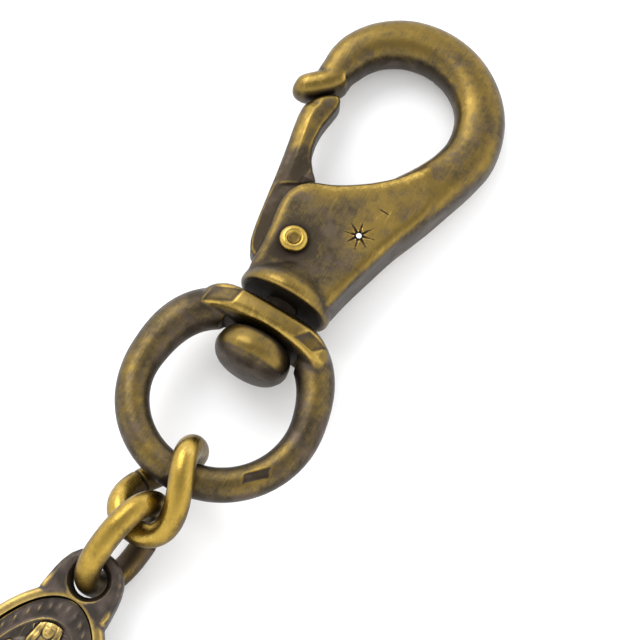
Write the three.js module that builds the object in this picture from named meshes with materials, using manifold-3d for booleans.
// Keychain bottle opener: a brass lever-gate swivel snap hook, two heavy twisted chain links and an
// oval opener plate with an inlaid relief medal.
// Millimetres, +Z up, +Y along the keychain towards the hook's crown. The keychain lies on a table.
import * as THREE from "three";
import { mergeVertices } from "three/addons/utils/BufferGeometryUtils.js";
import Module from "manifold-3d";

// ---------------------------------------------------------------- driving dimensions
const GAP = 0.15; // clearance kept between separate pieces that touch in the real object
const TILT = 4.4; // degrees the snap leans on the table, from its collar down to its crown
const COLLAR_R = 7.2; // round collar of the hook, the part that rests on the table
const COLLAR_REST = [7.17, 1.3]; // radius and height of the ring it rests on
const BODY_Z = 4.3; // half thickness of the hook's cheeks
const CROWN_Z = 3.65; // half thickness of the crown
const NOSE_Z = 3.2; // half thickness of the nose
const SLOT_Z = 2.5; // half width of the slot between the cheeks
const GATE_Z = 2.3; // half thickness of the gate
const TONGUE_Z = 2.0; // half thickness of the gate between the cheeks
const PIVOT = [-2.78, 8.42]; // rivet axis in the hook's own plane
const RIVET_R = 1.15;
const RIVET_HEAD_R = 2.05;
const STONE = [5.2, 13.6];
const STONE_R = 0.5;
const SHANK_R = 2.3; // swivel stud
const BUTTON_R = 5.8;
const EYE_R = 12.95; // swivel eye, centre-line radius
const EYE_WIRE = 2.55; // swivel eye, wire radius
const EYE_Y = -16.85; // swivel eye centre
const BAR_Y = -3.7; // swivel bar centre
const EYE_LEAN = 2.4; // degrees the worn eye hangs to one side
const LINK_WIRE = 1.85; // chain wire radius
const PLATE_A = 25.0; // opener plate, half length
const PLATE_B = 12.1; // opener plate, half width
const PLATE_Z = 1.75; // opener plate, half thickness at the rim
const RIM = 1.65; // width of the raised rim
const FIELD_Z = 0.3; // height of the inlay's seat above the plate's middle
const EAR_Z = 1.7; // half thickness of the ear

const wasm = await Module();
wasm.setup();

// ---------------------------------------------------------------- helpers
const rad = (d) => (d * Math.PI) / 180;

function toSolid(geometry) {
  const g = geometry.clone();
  g.deleteAttribute("normal");
  g.deleteAttribute("uv");
  const merged = mergeVertices(g, 1e-4);
  return new wasm.Manifold(
    new wasm.Mesh({
      numProp: 3,
      vertProperties: new Float32Array(merged.attributes.position.array),
      triVerts: new Uint32Array(merged.index.array),
    }),
  );
}

function toGeometry(solid) {
  const m = solid.getMesh();
  const g = new THREE.BufferGeometry();
  g.setAttribute("position", new THREE.BufferAttribute(new Float32Array(m.vertProperties), 3));
  g.setIndex(new THREE.BufferAttribute(new Uint32Array(m.triVerts), 1));
  const flat = g.toNonIndexed();
  flat.computeVertexNormals();
  return flat;
}

// A closed surface through a row of rings with equal point counts. Capped, or joined into a loop.
function loft(rings, loop = false) {
  const n = rings[0].length;
  const pos = [];
  const idx = [];
  rings.forEach((ring) => ring.forEach((p) => pos.push(p.x, p.y, p.z)));
  const rows = loop ? rings.length : rings.length - 1;
  for (let i = 0; i < rows; i++) {
    const a = i * n;
    const b = ((i + 1) % rings.length) * n;
    for (let j = 0; j < n; j++) {
      const k = (j + 1) % n;
      idx.push(a + j, a + k, b + k, a + j, b + k, b + j);
    }
  }
  if (!loop) {
    for (const [at, flip] of [[0, true], [rings.length - 1, false]]) {
      const c = new THREE.Vector3();
      rings[at].forEach((p) => c.add(p));
      c.divideScalar(n);
      const ci = pos.length / 3;
      pos.push(c.x, c.y, c.z);
      for (let j = 0; j < n; j++) {
        const k = (j + 1) % n;
        if (flip) idx.push(ci, at * n + k, at * n + j);
        else idx.push(ci, at * n + j, at * n + k);
      }
    }
  }
  const g = new THREE.BufferGeometry();
  g.setAttribute("position", new THREE.BufferAttribute(new Float32Array(pos), 3));
  g.setIndex(idx);
  const s = toSolid(g);
  if (s.volume() > 0) return s;
  for (let i = 0; i < idx.length; i += 3) {
    const t = idx[i + 1];
    idx[i + 1] = idx[i + 2];
    idx[i + 2] = t;
  }
  g.setIndex(idx);
  return toSolid(g);
}

// Points of a superellipse: half sizes a and b, exponent p (2 is an ellipse, 4 is nearly a rectangle).
function superellipse(a, b, p, n) {
  const out = [];
  for (let i = 0; i < n; i++) {
    const t = (2 * Math.PI * (i + 0.5)) / n;
    const c = Math.cos(t);
    const s = Math.sin(t);
    const k = Math.pow(Math.pow(Math.abs(c), p) + Math.pow(Math.abs(s), p), -1 / p);
    out.push([a * k * c, b * k * s]);
  }
  return out;
}

// Catmull-Rom through rows of numbers.
function spline(rows, steps) {
  const out = [];
  const at = (i) => {
    if (i < 0) return rows[0].map((v, k) => 2 * v - rows[1][k]);
    if (i >= rows.length) return rows[rows.length - 1].map((v, k) => 2 * v - rows[rows.length - 2][k]);
    return rows[i];
  };
  for (let i = 0; i < rows.length - 1; i++) {
    const [a, b, c, d] = [at(i - 1), at(i), at(i + 1), at(i + 2)];
    for (let s = 0; s < steps; s++) {
      const t = s / steps;
      out.push(
        b.map((v, k) =>
          0.5 * (2 * v + (c[k] - a[k]) * t + (2 * a[k] - 5 * v + 4 * c[k] - d[k]) * t * t +
            (3 * v - a[k] - 3 * c[k] + d[k]) * t * t * t)),
      );
    }
  }
  out.push(rows[rows.length - 1]);
  return out;
}

// A flat outline through points, given as straight runs or as a smooth closed curve.
function outline(points, smooth = 0) {
  const shape = new THREE.Shape();
  if (!smooth) {
    points.forEach(([x, y], i) => (i ? shape.lineTo(x, y) : shape.moveTo(x, y)));
    shape.closePath();
    return shape;
  }
  const curve = new THREE.CatmullRomCurve3(
    points.map(([x, y]) => new THREE.Vector3(x, y, 0)), true, "centripetal");
  curve.getPoints(smooth).slice(0, -1).forEach((p, i) => (i ? shape.lineTo(p.x, p.y) : shape.moveTo(p.x, p.y)));
  shape.closePath();
  return shape;
}

// A plate of half thickness hz cut to an outline, its edges rounded by bevel.
function plate(shape, hz, bevel = 0, segments = 3, inset = bevel) {
  const g = new THREE.ExtrudeGeometry(shape, {
    depth: 2 * (hz - bevel),
    bevelEnabled: bevel > 0,
    bevelThickness: bevel,
    bevelSize: inset,
    bevelOffset: -inset,
    bevelSegments: segments,
    curveSegments: 24,
    steps: 1,
  });
  g.translate(0, 0, -(hz - bevel));
  return toSolid(g);
}

function box(x0, y0, z0, x1, y1, z1) {
  const g = new THREE.BoxGeometry(x1 - x0, y1 - y0, z1 - z0);
  g.translate((x0 + x1) / 2, (y0 + y1) / 2, (z0 + z1) / 2);
  return toSolid(g);
}

// A turned piece: [radius, height] profile about an axis "y" or "z", moved to at.
function turned(profile, axis, at = [0, 0, 0], n = 48) {
  const g = new THREE.LatheGeometry(profile.map(([r, h]) => new THREE.Vector2(r, h)), n);
  if (axis === "z") g.rotateX(Math.PI / 2);
  g.translate(...at);
  let s = toSolid(g);
  if (s.volume() < 0) {
    const idx = mergeVertices(g, 1e-4);
    const i = idx.index.array;
    for (let k = 0; k < i.length; k += 3) [i[k + 1], i[k + 2]] = [i[k + 2], i[k + 1]];
    s = toSolid(idx);
  }
  return s;
}

const rod = (r, axis, from, to, at, n = 48) =>
  turned([[0, from], [r, from], [r, to], [0, to]], axis, at, n);

// A wire along closed centre points. radius is a number, or a function of the point's index.
function closedWire(points, radius, n = 16) {
  const m = points.length;
  const rings = [];
  const ref = new THREE.Vector3();
  points.forEach((p) => ref.add(p));
  ref.divideScalar(m);
  for (let i = 0; i < m; i++) {
    const t = points[(i + 1) % m].clone().sub(points[(i + m - 1) % m]).normalize();
    const out = points[i].clone().sub(ref);
    out.addScaledVector(t, -out.dot(t)).normalize();
    const up = t.clone().cross(out);
    const r = typeof radius === "function" ? radius(i) : radius;
    const ring = [];
    for (let j = 0; j < n; j++) {
      const a = (2 * Math.PI * j) / n;
      ring.push(points[i].clone().addScaledVector(out, r * Math.cos(a)).addScaledVector(up, r * Math.sin(a)));
    }
    rings.push(ring);
  }
  return loft(rings, true);
}

const union = (...parts) => parts.reduce((a, b) => a.add(b));

function mesh(name, solid, colour, roughness, metalness = 1) {
  const m = new THREE.Mesh(
    toGeometry(solid),
    new THREE.MeshStandardMaterial({ color: colour, roughness, metalness, flatShading: true }),
  );
  m.name = name;
  return m;
}

// ---------------------------------------------------------------- hook body
// Centre line of the cast arm in the hook's plane: x, y, half width, half thickness, squareness.
const ARM = [
  [6.1, 17.3, 4.9, BODY_Z, 4.6],
  [8.65, 22.3, 4.45, BODY_Z, 4.2],
  [10.75, 26.8, 4.0, 4.15, 3.4],
  [12.25, 30.8, 3.85, 3.95, 2.9],
  [12.95, 34.9, 3.92, 3.8, 2.6],
  [11.95, 39.65, 3.82, 3.7, 2.5],
  [9.45, 43.4, 3.7, CROWN_Z, 2.4],
  [5.6, 46.1, 3.68, CROWN_Z, 2.4],
  [1.15, 47.2, 3.65, CROWN_Z, 2.4],
  [-3.35, 46.6, 3.6, CROWN_Z, 2.4],
  [-7.05, 44.5, 3.45, 3.6, 2.4],
  [-9.35, 41.8, 3.25, 3.5, 2.5],
  [-10.35, 39.3, 3.05, 3.35, 2.6],
  [-10.75, 37.2, 2.65, 3.25, 2.8],
  [-10.75, 35.2, 2.55, NOSE_Z, 3.0],
];

function armSolid() {
  const rows = spline(ARM, 4);
  const rings = rows.map(([x, y, w, hz, p], i) => {
    const a = rows[Math.max(0, i - 1)];
    const b = rows[Math.min(rows.length - 1, i + 1)];
    const t = new THREE.Vector3(b[0] - a[0], b[1] - a[1], 0).normalize();
    const nrm = new THREE.Vector3(t.y, -t.x, 0);
    return superellipse(w, hz, p, 28).map(([u, v]) =>
      new THREE.Vector3(x, y, 0).addScaledVector(nrm, u).add(new THREE.Vector3(0, 0, v)));
  });
  return loft(rings);
}

const BODY_OUTLINE = [
  [6.6, 0.9], [6.8, 2.2], [7.5, 5.6], [8.8, 10.1], [10.2, 14.9], [11.5, 18.5], [12.6, 21.3],
  [12.9, 24.0], [11.4, 27.6], [9.4, 29.0], [8.1, 28.3], [7.35, 27.0], [5.4, 24.6], [2.6, 22.2], [-0.4, 20.2], [-2.7, 18.95],
  [-4.5, 18.5], [-5.8, 17.8], [-6.8, 16.7], [-7.5, 15.2], [-7.75, 13.5], [-7.5, 11.6], [-7.05, 9.0],
  [-6.75, 6.6], [-6.7, 4.6], [-6.7, 2.4], [-6.6, 0.9],
];
const NOSE_OUTLINE = [
  [-8.3, 36.0], [-8.25, 34.3], [-9.2, 33.6], [-10.3, 32.8], [-11.3, 31.85], [-12.3, 30.95], [-13.1, 30.45],
  [-13.9, 30.45], [-14.8, 30.8], [-15.45, 31.5], [-15.55, 32.6], [-15.15, 33.5], [-14.3, 34.2], [-13.4, 34.8],
  [-12.9, 36.0],
];

// The slot between the cheeks, and the room the gate turns through.
const SLOT_OUTLINE = [[-20, 3.7], [3.5, 3.7], [3.5, 5.5], [1.5, 7.6], [1.5, 24], [-20, 24]];

function hookBody() {
  // the collar rounds in at its foot and runs up into the cheeks as a cone
  const collar = turned(
    [[0, 0], [6.2, 0], [6.75, 0.06], [7.05, 0.3], [COLLAR_R, 0.7], COLLAR_REST, [6.95, 2.0],
      [6.5, 2.7], [5.9, 3.4], [5.2, 4.3], [4.4, 5.5], [0, 5.7]], "y", [0, 0, 0], 56);
  let s = union(
    plate(outline(BODY_OUTLINE), BODY_Z, 1.25, 3),
    collar,
    armSolid(),
    plate(outline(NOSE_OUTLINE), NOSE_Z, 0.9, 3),
  );
  s = s.subtract(plate(outline(SLOT_OUTLINE), SLOT_Z));
  s = s.subtract(rod(SHANK_R + 0.06, "y", -1, 8));
  s = s.subtract(rod(RIVET_R + 0.06, "z", -6, 6, [...PIVOT, 0], 32));
  // the stone's drilled seat with its eight cut rays
  s = s.subtract(rod(STONE_R + 0.08, "z", BODY_Z - 0.75, BODY_Z + 1, [...STONE, 0], 20));
  for (let i = 0; i < 8; i++) {
    const len = i % 2 ? 1.15 : 1.75;
    const ray = new THREE.ConeGeometry(0.2, len, 4);
    ray.rotateZ(-Math.PI / 2);
    ray.translate(STONE_R + len / 2 - 0.1, 0, 0);
    ray.rotateZ(rad(45 * i + 12));
    ray.translate(STONE[0], STONE[1], BODY_Z);
    s = s.subtract(toSolid(ray));
  }
  return s;
}

// ---------------------------------------------------------------- gate
const GATE_OUTLINE = [
  [-12.15, 30.3], [-12.45, 29.4], [-12.4, 27.6], [-12.05, 25.4], [-11.6, 23.1], [-11.1, 20.2], [-10.55, 17.1],
  [-10.1, 14.1], [-9.7, 11.3], [-9.3, 8.7], [-8.8, 6.4], [-8.0, 4.8], [-6.9, 4.15], [-6.0, 4.6], [-5.4, 5.5],
  [-4.2, 5.75], [-2.9, 5.6], [-1.6, 5.9], [-0.5, 6.7], [0.1, 7.7], [0.35, 8.9], [0.1, 10.2], [-0.7, 11.8],
  [-1.9, 13.6], [-3.2, 15.8], [-4.2, 17.8], [-5.0, 19.4], [-6.0, 20.4], [-7.1, 22.0], [-7.8, 23.7],
  [-8.15, 25.6], [-8.2, 27.6], [-7.95, 29.5], [-7.75, 31.3], [-7.8, 32.4], [-8.4, 33.15], [-9.5, 32.85], [-10.6, 31.95],
  [-11.5, 31.1],
];

function gateLever() {
  const full = plate(outline(GATE_OUTLINE), GATE_Z, 0.7, 2);
  // below the shoulder the gate is ground thinner, to run between the cheeks
  const low = outline([[-30, 0], [10, 0], [10, 20.6], [-4.0, 19.1], [-8.7, 16.3], [-10.2, 13.4], [-30, 11]]);
  const above = plate(low, 6).subtract(plate(low, TONGUE_Z));
  let s = full.subtract(above);
  s = s.subtract(rod(RIVET_R + 0.08, "z", -6, 6, [...PIVOT, 0], 32));
  // pocket for the spring round the rivet, open at its back towards the hook's body
  s = s.subtract(rod(2.45, "z", -0.95, 0.95, [...PIVOT, 0], 32));
  s = s.subtract(plate(outline([[-3.5, 7.7], [3, 5.5], [3, 10.5], [-2.8, 10.8]]), 0.95));
  s = s.subtract(plate(outline([[-4.8, 8.8], [-2.6, 8.8], [-5.4, 17.0], [-6.9, 16.6]]), 0.95));
  return s;
}

function gateRivet() {
  const top = BODY_Z + GAP;
  const r = RIVET_R;
  const h = RIVET_HEAD_R;
  return turned(
    [[0, -top - 0.55], [1.3, -top - 0.5], [h - 0.25, -top - 0.25], [h - 0.1, -top], [r, -top],
      [r, top], [h, top], [h, top + 0.3], [h - 0.22, top + 0.62], [h - 0.62, top + 0.75],
      [1.05, top + 0.68], [0.85, top + 0.5], [0, top + 0.46]], "z", [...PIVOT, 0], 32);
}

// Torsion spring round the rivet: three turns, one leg up the gate, one against the slot's back wall.
function gateSpring() {
  const [px, py] = PIVOT;
  const R = 1.75;
  const pts = [];
  const turns = 2.72;
  const steps = 40;
  pts.push(new THREE.Vector3(px - 2.9, py + 7.2, -0.62));
  for (let i = 0; i <= steps; i++) {
    const a = rad(158) + (i / steps) * turns * 2 * Math.PI;
    pts.push(new THREE.Vector3(px + R * Math.cos(a), py + R * Math.sin(a), -0.62 + (1.24 * i) / steps));
  }
  pts.push(new THREE.Vector3(1.15, 9.9, 0.62));
  const r = 0.21;
  const n = 7;
  const rings = pts.map((p, i) => {
    const t = pts[Math.min(pts.length - 1, i + 1)].clone().sub(pts[Math.max(0, i - 1)]).normalize();
    const up = new THREE.Vector3(0, 0, 1);
    const side = t.clone().cross(up).normalize();
    const top = side.clone().cross(t);
    const ring = [];
    for (let j = 0; j < n; j++) {
      const a = (2 * Math.PI * j) / n;
      ring.push(p.clone().addScaledVector(side, r * Math.cos(a)).addScaledVector(top, r * Math.sin(a)));
    }
    return ring;
  });
  return loft(rings);
}

function starStone() {
  const z = BODY_Z;
  return turned(
    [[0, z - 0.5], [STONE_R, z - 0.08], [STONE_R, z], [0.3, z + 0.14], [0, z + 0.14]], "z", [...STONE, 0], 12);
}

// ---------------------------------------------------------------- swivel
function swivelStud() {
  const pin = turned(
    [[0, 4.9], [2.0, 4.9], [2.9, 4.45], [3.1, 4.05], [3.0, 3.85], [SHANK_R, 3.85], [SHANK_R, -6.3],
      [4.1, -6.3], [4.9, -6.65], [5.45, -7.4], [5.72, -8.4], [BUTTON_R, -9.3], [5.6, -10.2],
      [5.05, -11.05], [3.9, -11.75], [2.2, -12.15], [0, -12.28]], "y", [0, 0, 0], 48);
  // the peened end is squeezed flat between the cheeks
  return pin.subtract(box(-5, 3.78, SLOT_Z - GAP, 5, 6, 5)).subtract(box(-5, 3.78, -5, 5, 6, GAP - SLOT_Z));
}

function swivelEye() {
  const count = 64;
  const degrees = (i) => (360 * Math.min(i, count - i)) / count;
  const fall = (x, a, b) => 1 - THREE.MathUtils.smoothstep(x, a, b);
  const centre = [];
  for (let i = 0; i < count; i++) {
    const a = (2 * Math.PI * i) / count;
    // the shoulders under the bar stand out from a true circle, and are thicker, on the left most of all
    const r = EYE_R + 1.15 * (i < count / 2 ? fall(degrees(i), 36, 64) : fall(degrees(i), 42, 88));
    centre.push(new THREE.Vector3(r * Math.sin(a), EYE_Y + r * Math.cos(a), 0));
  }
  const swell = (i) => (i < count / 2 ? 0.45 * fall(degrees(i), 40, 68) : 0.6 * fall(degrees(i), 44, 112));
  const ring = closedWire(centre, (i) => EYE_WIRE + swell(i), 18);
  // the saddle bar: x, middle y, half height, half thickness
  const bar = spline([
    [-11.2, -6.2, 1.4, 1.9], [-10.6, -5.5, 2.0, 2.9], [-9.6, -4.85, 2.3, 3.9], [-7.6, -4.2, 2.35, 4.7],
    [-4.6, -3.85, 2.25, 5.2], [0, -3.7, 2.2, 5.4], [4.6, -3.85, 2.25, 5.2], [7.6, -4.2, 2.35, 4.7],
    [9.4, -5.0, 2.2, 3.7], [10.3, -5.75, 1.85, 2.8], [10.9, -6.5, 1.3, 1.9],
  ], 2);
  const rings = bar.map(([x, y, hy, hz]) =>
    superellipse(hy, hz, 3, 24).map(([u, v]) => new THREE.Vector3(x, y + u, v)));
  let s = union(ring, loft(rings));
  // the eye hangs a little to one side on its worn bore
  s = s.translate([0, -BAR_Y, 0]).rotate([0, 0, -EYE_LEAN]).translate([0, BAR_Y, 0]);
  s = s.subtract(rod(SHANK_R + 0.1, "y", -8, 1));
  // running faces at the collar and the button
  s = s.subtract(rod(7.4, "y", -1.3, 2)).subtract(rod(6.4, "y", -13, -6.1));
  return s;
}

// ---------------------------------------------------------------- chain
const LINK = { length: 14.52, half: 5.28, power: 2.27 };

// A link: an oval wire loop, its far end turned by twist about the link's length.
// top is its upper end, azimuth and pitch aim it down the chain, roll turns its upper end.
function linkPoints({ top, azimuth, pitch, roll, twist }, count = 56) {
  const az = rad(azimuth);
  const pt = rad(pitch);
  const d = new THREE.Vector3(Math.sin(az) * Math.cos(pt), -Math.cos(az) * Math.cos(pt), -Math.sin(pt));
  const e1 = d.clone().cross(new THREE.Vector3(0, 0, 1)).normalize().negate();
  const e2 = d.clone().cross(e1);
  if (e2.z < 0) e2.negate();
  const a = LINK.length / 2;
  const c = new THREE.Vector3(...top).addScaledVector(d, a);
  const out = [];
  for (let i = 0; i < count; i++) {
    const t = (2 * Math.PI * i) / count;
    const ct = Math.cos(t);
    const st = Math.sin(t);
    const p = -a * Math.sign(ct) * Math.pow(Math.abs(ct), 2 / LINK.power);
    const q = LINK.half * Math.sign(st) * Math.pow(Math.abs(st), 2 / LINK.power);
    const turn = rad(roll + (twist * (p + a)) / (2 * a));
    out.push(c.clone().addScaledVector(d, p)
      .addScaledVector(e1, q * Math.cos(turn)).addScaledVector(e2, q * Math.sin(turn)));
  }
  return out;
}

const wire = (points) => closedWire(points, LINK_WIRE, 14);

// ---------------------------------------------------------------- opener plate and its inlay
function ellipsePoints(a, b, n) {
  const out = [];
  for (let i = 0; i < n; i++) {
    const t = (2 * Math.PI * (i + 0.5)) / n;
    out.push([b * Math.sin(t), a * Math.cos(t)]);
  }
  return out;
}

const EAR_Y = PLATE_A + 2.0;
const EAR_EYE = 2.4;
// right half of the ear's outline, from its crown down into the plate
const EAR_HALF = [[0, 31.6], [1.3, 31.45], [2.5, 30.95], [3.6, 30.1], [4.45, 28.9], [5.0, 27.4],
  [5.3, 25.8], [5.45, 24.2], [5.6, 22.6], [5.3, 21.6]];
const SEAT_Y = -2.6; // lower edge of the inlay's seat
const PLATE_TOP = PLATE_Z;
const FLOOR_Z = 0.75; // height of the sunk field round the cap opening

const half = [[6.4, -4.6], [7.9, -5.3], [8.65, -7.2], [8.6, -10.0], [8.0, -13.0], [6.8, -15.8],
  [4.9, -18.1], [2.5, -19.4], [0, -19.8]];
const APERTURE_OUTLINE = [...half, ...half.slice(0, -1).reverse().map(([x, y]) => [-x, y])];
const LIP_OUTLINE = [[-4.2, -3.9], [-3.5, -6.2], [-2.9, -6.8], [2.9, -6.8], [3.5, -6.2], [4.2, -3.9]];

function openerBody() {
  let s = plate(outline(ellipsePoints(PLATE_A, PLATE_B, 72)), PLATE_Z, 0.75, 3);
  // the sunk field inside the rim, shallow at the cap opening and deeper at the inlay's seat
  const inner = outline(ellipsePoints(PLATE_A - RIM, PLATE_B - RIM, 72));
  s = s.subtract(plate(inner, 4).intersect(box(-20, -40, FLOOR_Z, 20, SEAT_Y + 0.01, 6)));
  s = s.subtract(plate(inner, 4).intersect(box(-20, SEAT_Y, FIELD_Z, 20, 40, 6)));
  // the ear: an arch that flares down into the rim, with a round eye
  const arch = outline([...EAR_HALF, ...EAR_HALF.slice(1).reverse().map(([x, y]) => [-x, y])]);
  const e = EAR_EYE;
  const eye = turned(
    [[0, -4], [e + 1.6, -4], [e + 1.0, -EAR_Z - 0.2], [e + 0.5, -EAR_Z + 0.35], [e + 0.15, -EAR_Z + 0.85], [e, -0.4],
      [e, 0.4], [e + 0.15, EAR_Z - 0.85], [e + 0.5, EAR_Z - 0.35], [e + 1.0, EAR_Z + 0.2], [e + 1.6, 4], [0, 4]],
    "z", [0, EAR_Y, 0], 32);
  const heart = plate(inner, 4).intersect(box(-20, 0, FIELD_Z, 20, 40, 6));
  s = union(s, plate(arch, EAR_Z, 0.95, 4).subtract(heart)).subtract(eye);
  // the cap opening with its lip
  s = s.subtract(plate(outline(APERTURE_OUTLINE), 5));
  const lip = plate(outline(LIP_OUTLINE), 0.85, 0.3, 2).translate([0, 0, -PLATE_Z + 0.85]);
  return union(s, lip);
}

function blob(x, y, z, rx, ry, rz, nu = 14, nv = 9) {
  const g = new THREE.SphereGeometry(1, nu, nv);
  g.scale(rx, ry, rz);
  g.translate(x, y, z);
  return toSolid(g);
}

// The inlay: a thin oval plate with an inner line, a beaded border and a robed half figure.
function medal() {
  const a = PLATE_A - RIM - GAP;
  const b = PLATE_B - RIM - GAP;
  const z0 = FIELD_Z + GAP;
  const z1 = z0 + 0.65;
  const clip = box(-20, SEAT_Y + GAP, -1, 20, 40, 6);
  const slab = (k, hz, mid) =>
    plate(outline(ellipsePoints(a - k, b - k, 60)), hz).translate([0, 0, mid]);
  let s = slab(0, (z1 - z0) / 2, (z0 + z1) / 2);
  const line = slab(1.75, 0.3, z1 - 0.05).subtract(slab(2.05, 1, z1));
  s = union(s, line);
  for (let i = -11; i <= 11; i++) {
    const t = rad(i * 7.6);
    const [x, y] = [(b - 0.9) * Math.sin(t), (a - 0.9) * Math.cos(t)];
    if (y > SEAT_Y + 1.2) s = union(s, blob(x, y, z1, 0.42, 0.42, 0.36, 8, 6));
  }
  const hx = -0.9;
  const hy = 17.2;
  const halo = rod(3.0, "z", z1 - 0.2, z1 + 0.3, [hx + 0.2, hy + 0.3, 0], 28)
    .subtract(rod(2.55, "z", z1 + 0.08, z1 + 1, [hx + 0.2, hy + 0.3, 0], 28));
  const figure = union(
    halo,
    blob(hx + 0.15, hy + 0.35, z1 + 0.1, 2.1, 2.35, 0.75, 16, 10),
    blob(hx - 0.1, hy, z1 + 0.25, 1.35, 1.8, 0.95, 14, 10),
    blob(hx + 1.75, hy - 1.9, z1, 0.75, 2.5, 0.6, 10, 8),
    blob(hx - 1.6, hy - 1.9, z1, 0.65, 2.3, 0.55, 10, 8),
    blob(0, hy - 3.6, z1, 1.3, 1.6, 0.7, 12, 8),
    blob(0, hy - 7.6, z1 - 0.05, 4.9, 4.4, 1.0, 20, 10),
    blob(0, hy - 13.2, z1 - 0.05, 5.6, 6.2, 1.05, 20, 10),
    blob(0, hy - 17.6, z1 - 0.05, 6.0, 5.0, 1.0, 20, 10),
    blob(-3.4, hy - 9.4, z1 + 0.3, 1.4, 3.6, 0.85, 12, 8),
    blob(3.4, hy - 9.4, z1 + 0.3, 1.4, 3.6, 0.85, 12, 8),
    blob(0, hy - 10.2, z1 + 0.6, 2.3, 1.1, 0.7, 12, 8),
  );
  const keep = slab(2.3, 3, z1).intersect(box(-20, -20, z0 + 0.1, 20, 40, 6));
  s = union(s, figure.intersect(keep));
  return s.intersect(clip).intersect(box(-20, -20, z0, 20, 40, PLATE_TOP + 0.35));
}

// ---------------------------------------------------------------- assembly
const BRASS = "#8a743f";
const BRIGHT = "#c2a456";
const DARK = "#5b5347";

const design = new THREE.Group();
design.name = "layout";

// The snap and its swivel eye lean down from the collar to the crown.
const snap = new THREE.Group();
snap.name = "snap";
snap.rotation.x = -rad(TILT);
snap.position.z = COLLAR_REST[0] * Math.cos(rad(TILT)) + COLLAR_REST[1] * Math.sin(rad(TILT));
snap.add(
  mesh("hook_body", hookBody(), BRASS, 0.42),
  mesh("gate_lever", gateLever(), BRASS, 0.42),
  mesh("gate_rivet", gateRivet(), BRIGHT, 0.3),
  mesh("gate_spring", gateSpring(), "#8d9094", 0.35),
  mesh("star_stone", starStone(), "#eef3f6", 0.05, 0),
  mesh("swivel_stud", swivelStud(), BRASS, 0.42),
  mesh("swivel_eye", swivelEye(), BRASS, 0.42),
);

// Where the chain and the opener lie, from the swivel axis at the collar's lower face.
const LINK_1 = { top: [-0.19, -25.31, 2.62], azimuth: -10.2, pitch: 6.6, roll: 96.8, twist: -93.6 };
const LINK_2 = { top: [-1.41, -35.2, 2.78], azimuth: -10.5, pitch: 20.0, roll: 103.8, twist: 3.2 };
const OPENER = { ear: [-4.2, -48.65, -0.47], azimuth: 5.2 };

const chain = new THREE.Group();
chain.name = "chain";
chain.position.z = snap.position.z;
chain.add(
  mesh("chain_link_1", wire(linkPoints(LINK_1)), BRIGHT, 0.3),
  mesh("chain_link_2", wire(linkPoints(LINK_2)), BRIGHT, 0.3),
);

const opener = new THREE.Group();
opener.name = "opener";
opener.rotation.order = "ZXY";
opener.rotation.z = -rad(OPENER.azimuth);
// it slopes from the raised ear down to its far edge on the table
opener.rotation.x = Math.asin((snap.position.z + OPENER.ear[2] - PLATE_Z - 0.05) / (PLATE_A + EAR_Y));
opener.position.set(...OPENER.ear).add(new THREE.Vector3(0, 0, snap.position.z));
const openerShift = new THREE.Group();
openerShift.name = "opener_shift";
openerShift.position.y = -EAR_Y;
openerShift.add(
  mesh("opener_body", openerBody(), DARK, 0.45),
  mesh("medal", medal(), DARK, 0.45),
);
opener.add(openerShift);
design.add(snap, chain, opener);

// The origin is under the middle of the whole keychain, on the table.
const root = new THREE.Group();
root.name = "keychain_opener";
root.add(design);
root.updateMatrixWorld(true);
const bounds = new THREE.Box3().setFromObject(design, true);
const middle = bounds.getCenter(new THREE.Vector3());
design.position.set(-middle.x, -middle.y, -bounds.min.z);
root.updateMatrixWorld(true);

export default root;
